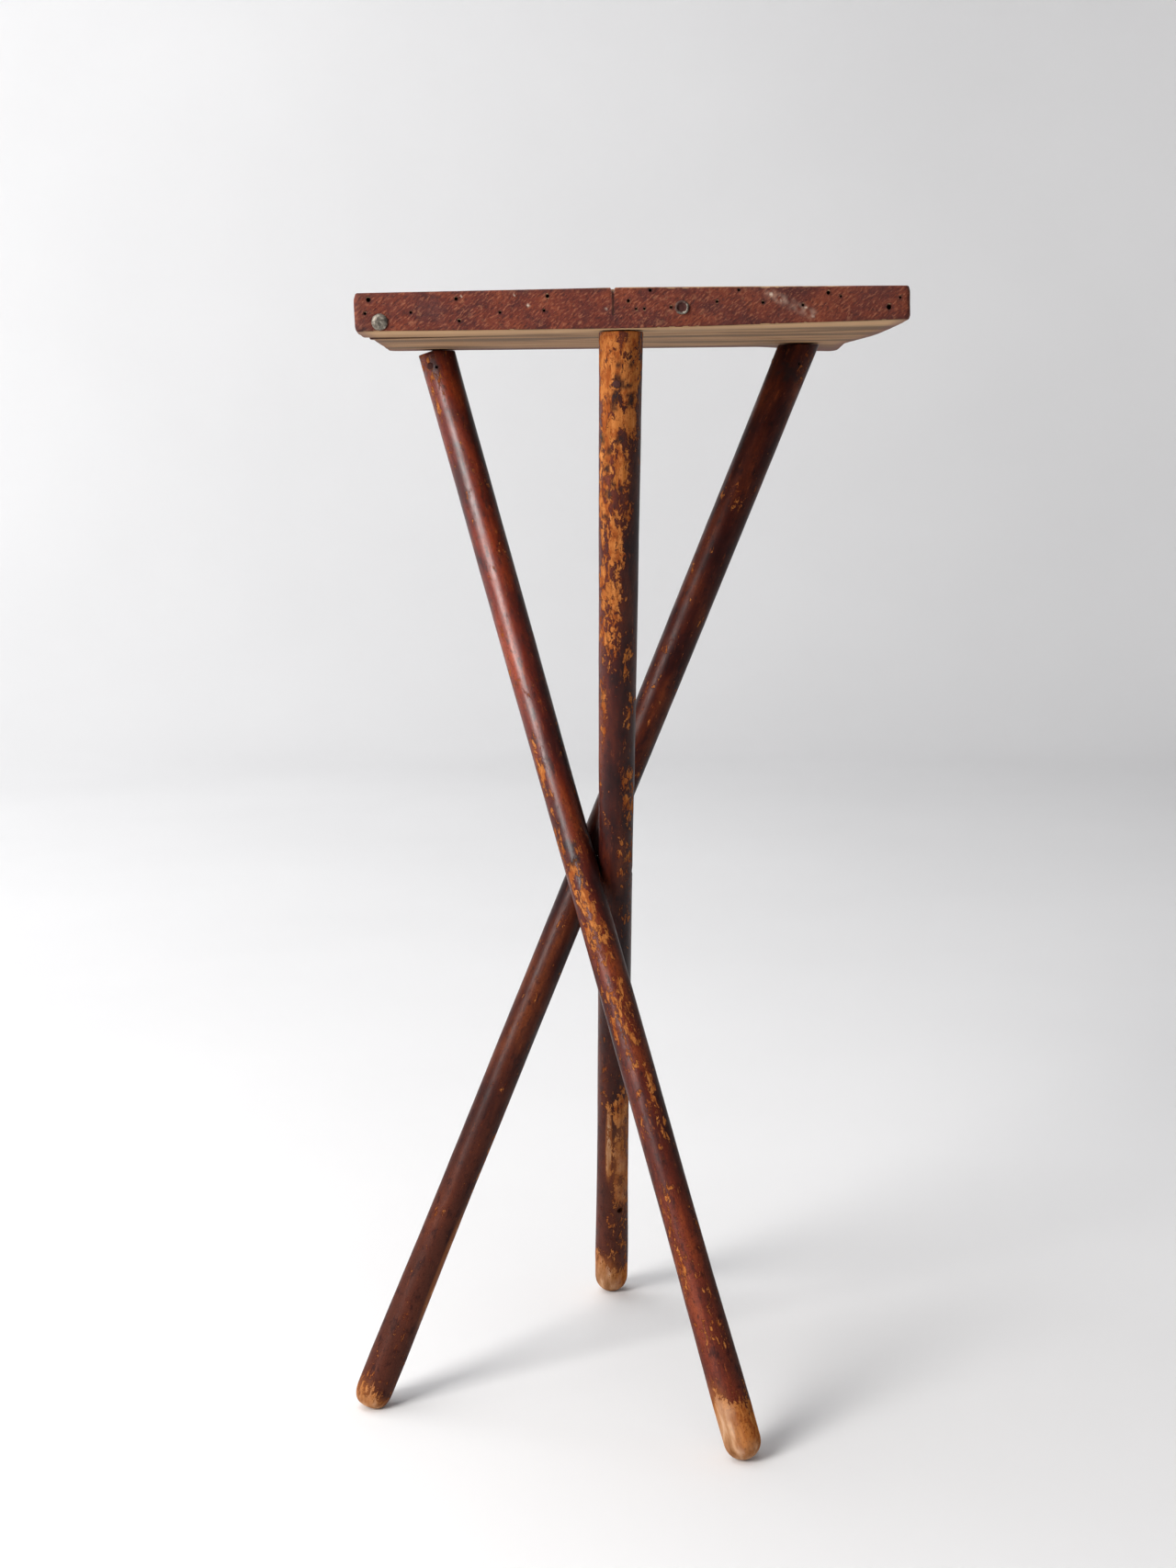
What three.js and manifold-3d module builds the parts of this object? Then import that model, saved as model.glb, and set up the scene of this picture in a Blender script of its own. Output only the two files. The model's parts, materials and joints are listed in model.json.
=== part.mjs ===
// A folding three-legged field stand in millimetres, +Z up, front edge towards -Y.
// A board of two planks rests on three turned legs that cross at mid-height. The legs turn on the arms
// of a three-way iron pivot, and an iron pin in each leg top stands in a socket under the board.
import * as THREE from "three";
import { mergeVertices } from "three/addons/utils/BufferGeometryUtils.js";
import Module from "manifold-3d";

const wasm = await Module();
wasm.setup();

// Gap between pieces that touch.
const GAP = 0.3;
// How far a cutting shape runs past the surface it opens.
const OVERRUN = 8;

// Board.
const BOARD_WIDTH = 333;
const BOARD_DEPTH = 333;
const BOARD_THICKNESS = 25.4;
const FRONT_PLANK_DEPTH = 80;
const REAR_PLANK_STEP = 4;
const UNDERSIDE_HEIGHT = 733;
const FRONT_CORNER_RADIUS = 3;
const REAR_CORNER_RADIUS = 12;
const EDGE_ROUNDING = 1.2;

// Hidden dowels in the joint between the planks, as fractions of the board's half width.
const DOWEL_RADIUS = 4.75;
const DOWEL_LENGTH = 50;
const DOWEL_PLACES = { left: -0.72, middle: 0.08, right: 0.74 };

// Three-way pivot: its place under the board's centre, and its arms. The legs all but touch where they
// cross, so its upright post is no thicker than the space between them.
const PIVOT_X = -20.3;
const PIVOT_Y = 20.25;
const POST_RADIUS = 1.9;
const POST_OVERHANG = 3;
const ARM_RADIUS = 1.8;
const ARM_HOLE_RADIUS = 2.05;
const COUNTERBORE_RADIUS = 4.6;
const COUNTERBORE_DEPTH = 4.2;
const BURR_RADIUS = 4.2;
const BURR_THICKNESS = 1.6;
const RIVET_HEAD_RADIUS = 3.6;
const RIVET_HEAD_DEPTH = 1.1;
const RIVET_SUNK = 0.6;

// Legs: lean from upright, and radii of the left leg as [share of length from the top, radius].
const LEG_TILT = THREE.MathUtils.degToRad(25.08);
const LEG_TOP_CLEARANCE = 0.8;
const WAIST_RADIUS = 11.4;
const LEG_RADII = [
  [0.0, 13.1],
  [0.05, 12.6],
  [0.15, 12.2],
  [0.3, 11.9],
  [0.5, WAIST_RADIUS],
  [0.65, 11.05],
  [0.8, 10.85],
  [0.86, 11.0],
  [0.92, 11.6],
  [0.97, 12.1],
];
const FOOT_RADIUS = 12.3;
const FOOT_RINGS = 8;
const LEG_SIDES = 36;

// Locating pins in the leg tops, and their sockets, which reach further in than out.
const LOCATING_PIN_RADIUS = 2.5;
const LOCATING_PIN_DEPTH = 30;
const LOCATING_PIN_RISE = 4.2;
const SOCKET_RADIUS = 7.2;
const SOCKET_DEPTH = 7;
const SOCKET_SHIFT = 3;

// Brads that hold the locating pins.
const BRAD_RADIUS = 1.1;
const BRAD_HEAD_RADIUS = 2.6;
const BRAD_HEAD_THICKNESS = 0.9;

// bearing: direction of the leg's pivot arm seen from above, in degrees from +X. offset: from the post's
// axis to the leg's. armHeight: height of the arm. girth: thickness against the left leg.
// bradBearing and bradDrop: the brad's bearing on the leg and its drop below the leg top.
const LEGS = {
  left: { bearing: -144.7, offset: 14.0, armHeight: 377.4, girth: 1.0, bradBearing: 20, bradDrop: 15 },
  center: { bearing: -0.15, offset: 13.9, armHeight: 369.7, girth: 1.02, bradBearing: -99, bradDrop: 28 },
  right: { bearing: 112.05, offset: 16.78, armHeight: 367.7, girth: 1.02, bradBearing: 60, bradDrop: 18 },
};

// Nail heads as [share of the head's radius, height in front of the board's edge].
const DOMED_HEAD = [
  [0, 2.0],
  [0.45, 1.9],
  [0.8, 1.4],
  [1, 0.7],
];
const DISHED_HEAD = [
  [0, 1.1],
  [0.55, 1.0],
  [0.72, 1.7],
  [0.9, 1.7],
  [1, 1.1],
];

// Nails in the front edge: distance from the board's left end and height above the underside.
const EDGE_NAILS = {
  left: { along: 15, height: 5.9, headRadius: 4.8, head: DOMED_HEAD },
  center: { along: 195.4, height: 12.5, headRadius: 4.1, head: DISHED_HEAD },
};
const EDGE_NAIL_SHANK_RADIUS = 1.5;
const EDGE_NAIL_LENGTH = 38;
const EDGE_NAIL_POINT = 4;

const HOLE_SIDES = 24;
const BRAD_SIDES = 16;

const PAINTED_PINE = new THREE.MeshStandardMaterial({ color: 0x7a4030, roughness: 0.8 });
const VARNISHED_BEECH = new THREE.MeshStandardMaterial({ color: 0x4a2118, roughness: 0.3 });
const DOWEL_BEECH = new THREE.MeshStandardMaterial({ color: 0xc9a87a, roughness: 0.7 });
const BLACK_IRON = new THREE.MeshStandardMaterial({ color: 0x2e2a28, roughness: 0.6, metalness: 0.9 });
const ZINC = new THREE.MeshStandardMaterial({ color: 0x8c8b84, roughness: 0.5, metalness: 0.9 });

// --- solids -------------------------------------------------------------------------------------

function solidOf(geometry) {
  const bare = new THREE.BufferGeometry();
  bare.setAttribute("position", geometry.getAttribute("position"));
  if (geometry.index) bare.setIndex(geometry.index);
  const merged = mergeVertices(bare, 1e-4);
  return new wasm.Manifold(
    new wasm.Mesh({
      numProp: 3,
      vertProperties: new Float32Array(merged.getAttribute("position").array),
      triVerts: new Uint32Array(merged.index.array),
    }),
  );
}

function geometryOf(solid) {
  const made = solid.getMesh();
  const geometry = new THREE.BufferGeometry();
  geometry.setAttribute("position", new THREE.BufferAttribute(made.vertProperties, 3));
  geometry.setIndex(new THREE.BufferAttribute(made.triVerts, 1));
  geometry.computeVertexNormals();
  return geometry;
}

function cut(geometry, ...cutters) {
  const solid = cutters.reduce((left, cutter) => left.subtract(solidOf(cutter)), solidOf(geometry));
  return geometryOf(solid);
}

function join(first, ...others) {
  const solid = others.reduce((whole, other) => whole.add(solidOf(other)), solidOf(first));
  return geometryOf(solid);
}

// A turned solid about the Z axis; profile points are [radius, height] from the bottom up.
function turned(profile, sides) {
  const points = profile.map(([radius, height]) => new THREE.Vector2(radius, height));
  return new THREE.LatheGeometry(points, sides).rotateX(Math.PI / 2);
}

// A rod along Z from low to high with softened ends.
function rod(radius, low, high, sides = HOLE_SIDES, softening = 0) {
  const ends = softening
    ? [
        [0, low],
        [radius - softening, low],
        [radius, low + softening],
        [radius, high - softening],
        [radius - softening, high],
        [0, high],
      ]
    : [
        [0, low],
        [radius, low],
        [radius, high],
        [0, high],
      ];
  return turned(ends, sides);
}

const alongX = (geometry) => geometry.rotateY(Math.PI / 2);
const alongY = (geometry) => geometry.rotateX(-Math.PI / 2);

function piece(name, geometry, material) {
  const mesh = new THREE.Mesh(geometry, material.clone());
  mesh.name = name;
  return mesh;
}

// --- places -------------------------------------------------------------------------------------

// The point where a leg's axis passes the given height, in the board's plan.
function legAxisAt(leg, height) {
  const bearing = THREE.MathUtils.degToRad(leg.bearing);
  const lean = (height - leg.armHeight) * Math.tan(LEG_TILT);
  return new THREE.Vector2(
    PIVOT_X + leg.offset * Math.cos(bearing) + lean * Math.sin(bearing),
    PIVOT_Y + leg.offset * Math.sin(bearing) - lean * Math.cos(bearing),
  );
}

// A locating pin stands near the outer wall of its socket.
function socketCentre(leg) {
  const bearing = THREE.MathUtils.degToRad(leg.bearing);
  const inwards = new THREE.Vector2(-Math.sin(bearing), Math.cos(bearing));
  const pin = legAxisAt(leg, UNDERSIDE_HEIGHT + LOCATING_PIN_RISE / 2);
  return pin.addScaledVector(inwards, SOCKET_SHIFT);
}

// --- board --------------------------------------------------------------------------------------

// A plank between two X and two Y limits; the radii round its front and rear corners in plan.
function plank(left, right, front, rear, frontRadius, rearRadius) {
  const inset = EDGE_ROUNDING;
  const [x0, x1, y0, y1] = [left + inset, right - inset, front + inset, rear - inset];
  const outline = new THREE.Shape();
  outline.moveTo(x0 + frontRadius, y0);
  outline.lineTo(x1 - frontRadius, y0);
  outline.quadraticCurveTo(x1, y0, x1, y0 + frontRadius);
  outline.lineTo(x1, y1 - rearRadius);
  outline.quadraticCurveTo(x1, y1, x1 - rearRadius, y1);
  outline.lineTo(x0 + rearRadius, y1);
  outline.quadraticCurveTo(x0, y1, x0, y1 - rearRadius);
  outline.lineTo(x0, y0 + frontRadius);
  outline.quadraticCurveTo(x0, y0, x0 + frontRadius, y0);
  const geometry = new THREE.ExtrudeGeometry(outline, {
    depth: BOARD_THICKNESS - 2 * inset,
    bevelSize: inset,
    bevelThickness: inset,
    bevelSegments: 2,
    curveSegments: 5,
  });
  return geometry.translate(0, 0, UNDERSIDE_HEIGHT + inset);
}

function socketCutter(leg) {
  const centre = socketCentre(leg);
  const socket = rod(SOCKET_RADIUS, UNDERSIDE_HEIGHT - OVERRUN, UNDERSIDE_HEIGHT + SOCKET_DEPTH);
  return socket.translate(centre.x, centre.y, 0);
}

// A nail lies along Y with its head in front of the board's front edge.
function edgeNail({ along, height, headRadius, head }) {
  const profile = [
    ...head.map(([share, proud]) => [share * headRadius, -proud]),
    [headRadius, -GAP],
    [EDGE_NAIL_SHANK_RADIUS, -GAP],
    [EDGE_NAIL_SHANK_RADIUS, EDGE_NAIL_LENGTH - EDGE_NAIL_POINT],
    [0, EDGE_NAIL_LENGTH],
  ];
  const nail = alongY(turned(profile, HOLE_SIDES));
  return nail.translate(along - BOARD_WIDTH / 2, -BOARD_DEPTH / 2, UNDERSIDE_HEIGHT + height);
}

function edgeNailHole({ along, height }) {
  const hole = alongY(rod(EDGE_NAIL_SHANK_RADIUS + GAP, -OVERRUN, EDGE_NAIL_LENGTH + 1));
  return hole.translate(along - BOARD_WIDTH / 2, -BOARD_DEPTH / 2, UNDERSIDE_HEIGHT + height);
}

function dowelAt(share, radius, length) {
  const joint = -BOARD_DEPTH / 2 + FRONT_PLANK_DEPTH;
  const dowel = alongY(rod(radius, -length / 2, length / 2, HOLE_SIDES, 1));
  return dowel.translate((share * BOARD_WIDTH) / 2, joint, UNDERSIDE_HEIGHT + BOARD_THICKNESS / 2);
}

function makeBoard() {
  const board = new THREE.Group();
  const halfWidth = BOARD_WIDTH / 2;
  const halfDepth = BOARD_DEPTH / 2;
  const joint = -halfDepth + FRONT_PLANK_DEPTH;
  const dowelHoles = () =>
    Object.values(DOWEL_PLACES).map((share) => dowelAt(share, DOWEL_RADIUS + GAP, DOWEL_LENGTH + 2));

  const front = plank(-halfWidth, halfWidth, -halfDepth, joint - GAP / 2, FRONT_CORNER_RADIUS, 0.5);
  const nailHoles = Object.values(EDGE_NAILS).map(edgeNailHole);
  const frontCut = cut(front, socketCutter(LEGS.center), ...nailHoles, ...dowelHoles());
  board.add(piece("front_plank", frontCut, PAINTED_PINE));

  const rearLeft = -halfWidth + REAR_PLANK_STEP;
  const rear = plank(rearLeft, halfWidth, joint + GAP / 2, halfDepth, 0.5, REAR_CORNER_RADIUS);
  const rearCut = cut(rear, socketCutter(LEGS.left), socketCutter(LEGS.right), ...dowelHoles());
  board.add(piece("rear_plank", rearCut, PAINTED_PINE));

  for (const [side, share] of Object.entries(DOWEL_PLACES)) {
    board.add(piece(`${side}_dowel`, dowelAt(share, DOWEL_RADIUS, DOWEL_LENGTH), DOWEL_BEECH));
  }
  for (const [side, nail] of Object.entries(EDGE_NAILS)) {
    board.add(piece(`${side}_edge_nail`, edgeNail(nail), ZINC));
  }
  return board;
}

// --- pivot --------------------------------------------------------------------------------------

const waistRadius = (leg) => WAIST_RADIUS * leg.girth;
const armReach = (leg) => leg.offset + waistRadius(leg) - RIVET_SUNK;

// One arm of the pivot with its riveted head, pointing along the leg's bearing.
function pivotArm(leg) {
  const reach = armReach(leg);
  const profile = [
    [0, 0],
    [ARM_RADIUS, 0],
    [ARM_RADIUS, reach - RIVET_HEAD_DEPTH],
    [RIVET_HEAD_RADIUS, reach - RIVET_HEAD_DEPTH],
    [RIVET_HEAD_RADIUS * 0.85, reach - 0.3],
    [RIVET_HEAD_RADIUS * 0.4, reach],
    [0, reach],
  ];
  const arm = alongX(turned(profile, HOLE_SIDES)).rotateZ(THREE.MathUtils.degToRad(leg.bearing));
  return arm.translate(0, 0, leg.armHeight);
}

function makePivot() {
  const heights = Object.values(LEGS).map((leg) => leg.armHeight);
  const low = Math.min(...heights) - POST_OVERHANG;
  const high = Math.max(...heights) + POST_OVERHANG;
  const post = rod(POST_RADIUS, low, high, HOLE_SIDES, 0.5);
  const arms = Object.values(LEGS).map(pivotArm);
  return piece("three_way_pivot", join(post, ...arms), BLACK_IRON);
}

// The burr is the ring on which the arm's end is riveted over.
function makeBurr(leg) {
  const outer = armReach(leg) - RIVET_HEAD_DEPTH - GAP;
  const inner = outer - BURR_THICKNESS;
  const ring = [
    [ARM_RADIUS + GAP, inner],
    [BURR_RADIUS, inner],
    [BURR_RADIUS, outer],
    [ARM_RADIUS + GAP, outer],
    [ARM_RADIUS + GAP, inner],
  ];
  return alongX(turned(ring, HOLE_SIDES));
}

// --- legs ---------------------------------------------------------------------------------------

// Distances along the leg from the pivot arm: up to the board's end cut, and down to the foot's centre.
const cutHeight = (leg) => UNDERSIDE_HEIGHT - LEG_TOP_CLEARANCE - leg.armHeight;
const upperLength = (leg) => cutHeight(leg) / Math.cos(LEG_TILT);
const lowerLength = (leg) => (leg.armHeight - FOOT_RADIUS * leg.girth) / Math.cos(LEG_TILT);

// The leg's turned shape about Z, with the pivot arm's axis at height 0.
function turnedLeg(leg) {
  const low = -lowerLength(leg);
  const footRadius = FOOT_RADIUS * leg.girth;
  const dome = Array.from({ length: FOOT_RINGS }, (_, ring) => {
    const angle = (ring / FOOT_RINGS) * (Math.PI / 2);
    return [footRadius * Math.sin(angle), low - footRadius * Math.cos(angle)];
  });
  const length = upperLength(leg) - low;
  const shaft = LEG_RADII.map(([share, radius]) => [radius * leg.girth, upperLength(leg) - share * length]);
  shaft.reverse();
  const high = upperLength(leg) + OVERRUN;
  const top = [
    [LEG_RADII[0][1] * leg.girth, high],
    [0, high],
  ];
  return turned([...dome, [footRadius, low], ...shaft, ...top], LEG_SIDES);
}

// The end cut is level when the leg leans, so in the leg's own frame the cutting block leans back.
function endCutter(leg) {
  const size = 5 * LEG_RADII[0][1];
  const height = cutHeight(leg);
  const block = new THREE.BoxGeometry(size, size, size);
  block.translate(0, -height * Math.tan(LEG_TILT), height + size / 2);
  return block.rotateX(-LEG_TILT);
}

// The brad's axis points out of the leg along +X before it is turned to its bearing.
function bradShape(leg, shankRadius, headRadius, outwards) {
  const surface = LEG_RADII[1][1] * leg.girth + outwards;
  const profile = [
    [0, LOCATING_PIN_RADIUS + 2 * GAP],
    [shankRadius, LOCATING_PIN_RADIUS + 4 * GAP],
    [shankRadius, surface - BRAD_HEAD_THICKNESS - outwards],
    [headRadius, surface - BRAD_HEAD_THICKNESS - outwards],
    [headRadius, surface],
    [0, surface],
  ];
  const brad = alongX(turned(profile, BRAD_SIDES)).rotateZ(THREE.MathUtils.degToRad(leg.bradBearing));
  return brad.translate(0, 0, upperLength(leg) - leg.bradDrop);
}

function makeLeg(side, leg) {
  const pinLow = upperLength(leg) - LOCATING_PIN_DEPTH;
  const pinHigh = upperLength(leg) + (LEG_TOP_CLEARANCE + LOCATING_PIN_RISE) / Math.cos(LEG_TILT);
  const outside = waistRadius(leg) + OVERRUN;
  const through = alongX(rod(ARM_HOLE_RADIUS, -outside, outside));
  const counterbore = alongX(rod(COUNTERBORE_RADIUS, waistRadius(leg) - COUNTERBORE_DEPTH, outside));
  const pinHole = rod(LOCATING_PIN_RADIUS + GAP, pinLow - GAP, pinHigh + OVERRUN);
  const bradHole = bradShape(leg, BRAD_RADIUS + GAP, BRAD_HEAD_RADIUS + GAP, OVERRUN);
  const shape = cut(turnedLeg(leg), endCutter(leg), through, counterbore, pinHole, bradHole);

  const group = new THREE.Group();
  group.add(piece(`${side}_leg`, shape, VARNISHED_BEECH));
  const pin = rod(LOCATING_PIN_RADIUS, pinLow, pinHigh, HOLE_SIDES, 0.6);
  group.add(piece(`${side}_locating_pin`, pin, BLACK_IRON));
  group.add(piece(`${side}_pin_brad`, bradShape(leg, BRAD_RADIUS, BRAD_HEAD_RADIUS, 0), ZINC));
  group.position.x = leg.offset;
  group.rotation.x = LEG_TILT;
  return group;
}

// --- assembly -----------------------------------------------------------------------------------

const stand = new THREE.Group();
stand.add(makeBoard());

const undercarriage = new THREE.Group();
undercarriage.position.set(PIVOT_X, PIVOT_Y, 0);
undercarriage.add(makePivot());
for (const [side, leg] of Object.entries(LEGS)) {
  const arm = new THREE.Group();
  arm.position.z = leg.armHeight;
  arm.rotation.z = THREE.MathUtils.degToRad(leg.bearing);
  arm.add(makeLeg(side, leg));
  arm.add(piece(`${side}_burr`, makeBurr(leg), BLACK_IRON));
  undercarriage.add(arm);
}
stand.add(undercarriage);

// The origin is on the floor, under the middle of the stand's outline.
const outline = new THREE.Box3().setFromObject(stand, true);
const middle = outline.getCenter(new THREE.Vector3());
stand.position.set(-middle.x, -middle.y, -outline.min.z);

export default stand;
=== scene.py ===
"""Looks of a folding three-legged stand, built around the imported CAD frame.

A board of two old planks rests on three turned, varnished legs that cross on an iron pivot.
Everything is in metres, +Z up, with the board's front edge towards -Y.
"""

import json
import math

import bpy
from mathutils import Matrix, Vector, noise


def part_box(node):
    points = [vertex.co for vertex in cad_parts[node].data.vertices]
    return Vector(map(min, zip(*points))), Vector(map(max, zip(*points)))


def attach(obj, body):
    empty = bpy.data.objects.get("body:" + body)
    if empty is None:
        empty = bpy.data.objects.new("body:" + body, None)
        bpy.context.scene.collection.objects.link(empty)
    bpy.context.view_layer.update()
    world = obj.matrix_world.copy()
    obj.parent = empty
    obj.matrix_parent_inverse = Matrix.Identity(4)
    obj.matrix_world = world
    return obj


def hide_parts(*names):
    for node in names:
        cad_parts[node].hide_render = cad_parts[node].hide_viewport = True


MM = 0.001

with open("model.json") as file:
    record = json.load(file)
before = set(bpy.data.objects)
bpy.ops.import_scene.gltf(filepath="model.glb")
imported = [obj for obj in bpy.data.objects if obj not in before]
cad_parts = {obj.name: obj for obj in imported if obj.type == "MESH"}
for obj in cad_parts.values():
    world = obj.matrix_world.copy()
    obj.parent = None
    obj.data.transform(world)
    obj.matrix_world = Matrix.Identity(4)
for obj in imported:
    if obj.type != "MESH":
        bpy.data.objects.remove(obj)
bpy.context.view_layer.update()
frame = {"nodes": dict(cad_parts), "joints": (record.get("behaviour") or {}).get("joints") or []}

# --- driving dimensions ---

# Camera: where it stands, and how it looks.
CAMERA_PLACE = (-0.0621, -1.6130, 0.6733)
CAMERA_HEADING = math.radians(-1.79)
CAMERA_PITCH = math.radians(8.53)
CAMERA_ROLL = math.radians(-0.71)
CAMERA_LENS = 54.06
SENSOR_HEIGHT = 36.0

# Lights: name, place, target, size, power and colour.
LIGHTS = (
    ("key", (-1.9, -1.7, 1.6), (0, 0, 0.4), (1.1, 1.9), 96, (1.0, 0.98, 0.955)),
    ("overhead", (-0.9, 0.3, 3.2), (-0.3, 0.2, 0), (2.6, 2.6), 62, (1.0, 1.0, 1.0)),
    ("wall", (-1.7, 1.7, 2.7), (-1.6, 4.2, 1.3), (1.4, 1.4), 30, (1.0, 1.0, 1.0)),
)

# Planks.
PLANK_STEP = 0.9 * MM
PLANK_DEPTH_STEP = 4 * MM
EDGE_RADIUS = 1.3 * MM
FRONT_CORNER_RADIUS = 3 * MM
REAR_CORNER_RADIUS = 12 * MM
WORN_CORNER_RADIUS = 15 * MM
SEAM_CLOSING = 0.1 * MM
FRONT_LOSS = 0.6 * MM
RIGHT_END_LOSS = 0.7 * MM
LEFT_END_LOSS = 1.9 * MM
RIGHT_UNDERSIDE_RISE = 3.9 * MM
RISE_DEPTH = 150 * MM
CORNER_DROOP = 3.9 * MM
CORNER_DROOP_REACH = 62 * MM
SEAM_STEP = 1.2 * MM
SEAM_STEP_REACH = 110 * MM

# Legs: lean from upright, and radii as (share of the length from the top, radius in mm).
LEG_TILT = math.radians(25.08)
LEG_RADII = (
    (0.0, 13.2), (0.05, 12.9), (0.15, 12.7), (0.3, 12.3), (0.42, 11.8), (0.5, 11.55),
    (0.58, 11.6), (0.65, 11.6), (0.8, 11.45), (0.86, 11.65), (0.92, 12.2), (0.97, 12.6), (1.0, 12.4),
)
FOOT_RADIUS = 12.3 * MM
LEG_GIRTH = {"left": 1.0, "center": 1.02, "right": 1.02}
LEG_SIDES = 64
LEG_RING_STEP = 3 * MM
TOP_ARRIS = 0.5 * MM
TOP_CUT_REACH = 30 * MM
WORN_TOP_START = 2.5 * MM
WORN_TOP_SLOPE = 0.36
COUNTERBORE_RADIUS = 4.0 * MM
COUNTERBORE_DEPTH = 4.2 * MM
PLUG_SKIN = 0.8 * MM

# Sockets under the board for the locating pins.
SOCKET_RADIUS = 7.2 * MM
SOCKET_DEPTH = 7 * MM
SOCKET_SHIFT = 3 * MM
PIN_RISE = 4.2 * MM
PIN_RADIUS = 2.5 * MM
PIN_LENGTH = 30 * MM

# Brads: where the leg's surface is measured for them, as a share, and their sizes from the leg's axis out.
BRAD_SHARE = 0.03
BRAD_TIP = 3.2 * MM
BRAD_SHANK_RADIUS = 1.1 * MM
BRAD_HEAD_RADIUS = 2.6 * MM
BRAD_HEAD_THICKNESS = 0.9 * MM
BRAD_RECESS_RADIUS = 2.75 * MM
BRAD_RECESS_DEPTH = 1.3 * MM

# Nails in the front edge.
NAIL_LENGTH = 30 * MM
NAIL_POINT = 3 * MM
NAIL_SHANK_RADIUS = 1.5 * MM

# How far a cutter stands out of the surface that it cuts.
CUTTER_PROUD = 3 * MM

# Old tack holes in the front edge: distance from the left end, height above the underside, radius, in mm.
TACK_HOLES = (
    (8.7, 18.9, 1.6), (6.5, 10.9, 1.0), (33.7, 11.3, 1.0), (60.8, 18.9, 1.2), (62.4, 6, 1.1),
    (86.7, 10.7, 1.0), (115.2, 20, 1.3), (113, 11.6, 1.0), (163.5, 16.6, 1.2), (168, 12, 0.9), (173, 12, 0.9),
    (176.5, 22.7, 1.1), (189, 12.7, 1.0), (216.5, 15.7, 1.0), (229.6, 22.3, 1.0), (244, 14.9, 1.0),
    (268, 13.2, 1.1), (283.3, 20.2, 1.4), (290.8, 18, 0.9), (326.5, 17, 1.0), (319.9, 11.6, 2.0),
)
TACK_HOLE_DEPTH = 5 * MM

# Pale chips in the paint of the front edge, given in the same way.
PAINT_CHIPS = (
    (103.6, 14.7, 1.0), (95.4, 21, 0.7), (150, 12, 0.6), (249, 19.6, 1.4), (255, 16, 0.5),
    (269.6, 11.7, 0.8), (274, 6.6, 0.7), (154.2, 23.4, 1.3), (64, 20.5, 0.4),
)

# A pale smear across the front edge, from one place to the other.
SMEAR_FROM = (248, 20)
SMEAR_TO = (273, 8)

# A scribed line down the front edge, with a notch at its top.
SCRIBE_ALONG = 154.2 * MM
SCRIBE_WIDTH = 0.7 * MM
SCRIBE_DEPTH = 1.2 * MM
SCRIBE_LENGTH = 17 * MM
NOTCH_WIDTH = 3.2 * MM
NOTCH_HEIGHT = 3.4 * MM
NOTCH_DEPTH = 20 * MM

# Worn patches on the legs: (share from the top, bearing in degrees, half length as a share,
# half width in degrees, strength). Bearings are seen from above, and -90 is the front.
LEG_WEAR = {
    "left": (
        (0.01, -150, 0.015, 40, 0.3), (0.05, -140, 0.03, 14, 0.32), (0.30, -140, 0.05, 20, 0.2),
        (0.42, -138, 0.05, 20, 0.42), (0.475, -145, 0.03, 22, 0.42), (0.505, -118, 0.018, 34, 0.5),
        (0.54, -122, 0.03, 34, 0.56), (0.575, -108, 0.03, 44, 0.46), (0.63, -105, 0.035, 56, 0.46),
        (0.665, -115, 0.02, 40, 0.42), (0.71, -60, 0.04, 18, 0.42), (0.78, -112, 0.022, 18, 0.46),
        (0.84, -138, 0.06, 18, 0.36), (0.92, -80, 0.03, 45, 0.28), (0.8, -90, 0.12, 80, 0.12),
        (0.5, 60, 0.12, 50, 0.45), (0.75, 120, 0.1, 50, 0.4),
    ),
    "center": (
        (0.035, -100, 0.06, 76, 0.7), (0.12, -118, 0.08, 50, 0.66), (0.2, -122, 0.06, 42, 0.6),
        (0.25, -120, 0.04, 34, 0.48), (0.30, -60, 0.05, 16, 0.42), (0.33, -145, 0.04, 16, 0.36),
        (0.43, -48, 0.06, 30, 0.4), (0.52, -50, 0.04, 26, 0.3), (0.70, -40, 0.04, 36, 0.5),
        (0.82, -50, 0.09, 46, 0.66), (0.815, -108, 0.05, 9, 0.8), (0.93, -60, 0.03, 50, 0.36),
        (0.15, 80, 0.1, 50, 0.55), (0.6, 110, 0.12, 50, 0.45),
    ),
    "right": (
        (0.02, -60, 0.02, 40, 0.12), (0.30, -120, 0.1, 30, 0.12), (0.86, -12, 0.09, 18, 0.42),
        (0.94, -40, 0.02, 20, 0.2), (0.35, 70, 0.15, 50, 0.45), (0.8, 120, 0.12, 50, 0.45),
    ),
}
BASE_WEAR = {"left": -0.12, "center": -0.12, "right": -0.28}

# Where each leg's bare foot starts, as a share from the top.
BARE_FOOT = {"left": 0.968, "center": 0.976, "right": 1.004}

# Length, as a share, over which the varnish browns towards the bare foot.
FOOT_FADE = {"left": 0.03, "center": 0.026, "right": 0.02}

# How blunt each foot is: 1 is a half round, and less is flatter.
FOOT_BLUNTNESS = {"left": 1.0, "center": 0.9, "right": 0.52}

# The bearing that each foot's palest wood faces, in degrees: the side towards the key light, so this paleness
# is partly worn wood and partly painted light.
PALE_LIT_SIDE = {"left": 167, "center": -165, "right": 180}

# Ochre, unstained wood along a leg, given like the worn patches.
PALE_WOOD = {
    "left": (),
    "center": ((0.84, -50, 0.1, 70, 0.3), (0.815, -108, 0.06, 16, 0.9)),
    "right": ((0.88, -25, 0.08, 30, 0.5),),
}

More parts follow.
